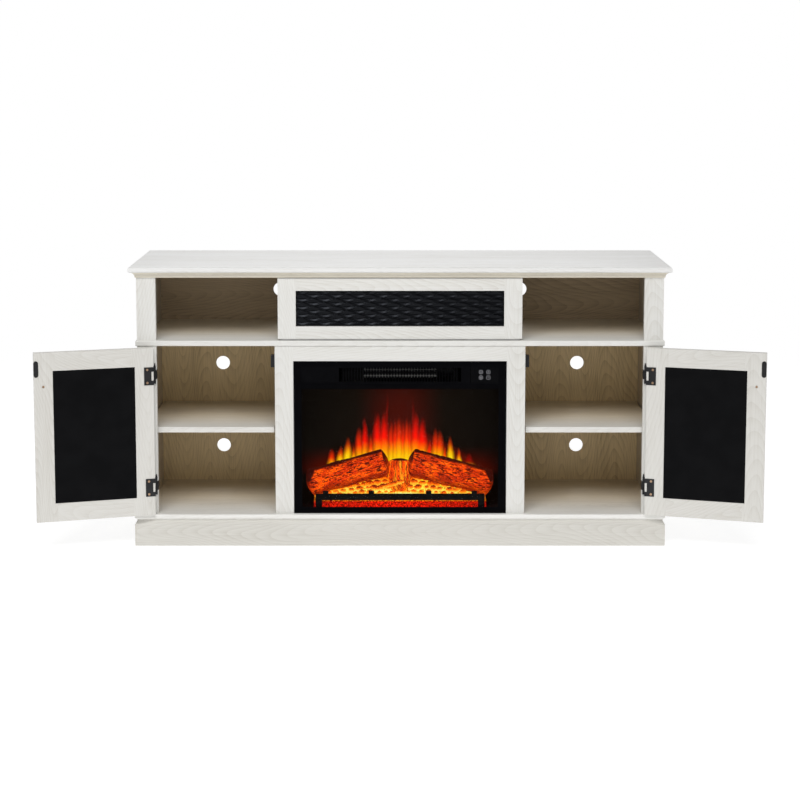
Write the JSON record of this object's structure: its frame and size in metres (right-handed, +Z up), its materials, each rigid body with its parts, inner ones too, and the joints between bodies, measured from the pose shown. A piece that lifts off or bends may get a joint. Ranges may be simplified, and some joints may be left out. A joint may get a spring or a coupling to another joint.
{
  "type": "fireplace tv stand",
  "caption": "Free-standing oak-look media cabinet with an electric fire insert, hinged side doors over shelves, open bays, a drop-down front flap and a moulded top for a television.",
  "frame": {"origin": "on the floor, under the middle of the top board, on the underside of the centre brace", "axes": "+X to the right along the cabinet, +Y to the back, +Z up; the front faces -Y"},
  "size_m": [1.9628, 0.4856, 0.773],
  "materials": {
    "oak_white": "white-washed oak-grain laminate, satin",
    "back_sheet": "thin oak-grain fibreboard sheet, matt",
    "wave_black": "black painted fibreboard with a wave relief, satin",
    "hinge_black": "black, satin",
    "screw_brass": "plated, satin",
    "pin_steel": "plated",
    "catch_grey": "matt",
    "insert_black": "black powder coat, satin",
    "grille_black": "matt",
    "control_black": "gloss",
    "button_black": "matt with a pale icon",
    "fire_glass": "clear, polished",
    "heater_metal": "plain",
    "motor_steel": "plated",
    "board_green": "circuit board",
    "screen_smoke": "smoked, lit from behind with flames",
    "rotor_foil": "bright foil",
    "log_resin": "painted resin logs, glowing",
    "ember_resin": "translucent resin embers, lit",
    "grate_iron": "black",
    "gland_rubber": "matt"
  },
  "bodies": {
    "cabinet": {"adjustable_shelves": "oak_white", "base_rails": "oak_white", "bottom_board": "oak_white", "control_board": "board_green", "control_panel": "control_black", "cord_gland": "gland_rubber", "cornice_moulding": "oak_white", "drive_motors": "motor_steel", "ember_bed": "ember_resin", "fireplace_stiles": "oak_white", "fireplace_top_rail": "oak_white", "flame_screen": "screen_smoke", "front_stiles": "oak_white", "grate": "grate_iron", "heater_element": "heater_metal", "hinge_frame_leaves": "hinge_black", "hinge_frame_screws": "screw_brass", "hinge_pins": "hinge_black", "insert_bezel": "insert_black", "insert_casing": "insert_black", "insert_glass": "fire_glass", "light_board": "board_green", "log_centre": "log_resin", "log_left": "log_resin", "log_right": "log_resin", "lower_back_panels": "back_sheet", "lower_dividers": "oak_white", "lower_sides": "oak_white", "magnetic_catches": "catch_grey", "mid_shelf": "oak_white", "plinth_front": "oak_white", "plinth_sides": "oak_white", "shelf_pins": "pin_steel", "top_board": "oak_white", "upper_back_panel": "back_sheet", "upper_dividers": "oak_white", "upper_sides": "oak_white", "vent_grille": "grille_black"},
    "left_door": {"left_door_frame": "oak_white", "left_door_hinge_leaves": "hinge_black", "left_door_knob": "hinge_black", "left_door_panel": "wave_black", "left_door_screws": "screw_brass", "left_door_strike": "hinge_black"},
    "right_door": {"right_door_frame": "oak_white", "right_door_hinge_leaves": "hinge_black", "right_door_knob": "hinge_black", "right_door_panel": "wave_black", "right_door_screws": "screw_brass", "right_door_strike": "hinge_black"},
    "media_flap": {"flap_frame": "oak_white", "flap_panel": "wave_black", "flap_hinge_leaf": "hinge_black", "flap_strikes": "hinge_black"},
    "blower": {"blower_wheel": "heater_metal"},
    "rotor": {"flame_rotor": "rotor_foil"},
    "power_button": {"button_power": "button_black"},
    "flame_button": {"button_flame": "button_black"},
    "heat_button": {"button_heat": "button_black"},
    "timer_button": {"button_timer": "button_black"}
  },
  "joints": [
    {"name": "left_door_swing", "type": "hinge", "parent": "cabinet", "child": "left_door", "pos_m": [-0.6685, -0.183, 0.3215], "axis": [0, 0, -1], "range_deg": [-165, 10]},
    {"name": "right_door_swing", "type": "hinge", "parent": "cabinet", "child": "right_door", "pos_m": [0.6685, -0.183, 0.3215], "axis": [0, 0, 1], "range_deg": [-165, 10]},
    {"name": "flap_drop", "type": "hinge", "parent": "cabinet", "child": "media_flap", "pos_m": [0, -0.179, 0.5722], "axis": [1, 0, 0], "range_deg": [0, 90]},
    {"name": "blower_spin", "type": "hinge", "parent": "cabinet", "child": "blower", "pos_m": [0, -0.104, 0.47625], "axis": [1, 0, 0], "continuous": true},
    {"name": "rotor_spin", "type": "hinge", "parent": "cabinet", "child": "rotor", "pos_m": [0, -0.0575, 0.1515], "axis": [1, 0, 0], "continuous": true},
    {"name": "power_press", "type": "slide", "parent": "cabinet", "child": "power_button", "axis": [0, 1, 0], "range_m": [0, 0.001], "stiffness_N_per_m": 400},
    {"name": "flame_press", "type": "slide", "parent": "cabinet", "child": "flame_button", "axis": [0, 1, 0], "range_m": [0, 0.001], "stiffness_N_per_m": 400},
    {"name": "heat_press", "type": "slide", "parent": "cabinet", "child": "heat_button", "axis": [0, 1, 0], "range_m": [0, 0.001], "stiffness_N_per_m": 400},
    {"name": "timer_press", "type": "slide", "parent": "cabinet", "child": "timer_button", "axis": [0, 1, 0], "range_m": [0, 0.001], "stiffness_N_per_m": 400}
  ]
}
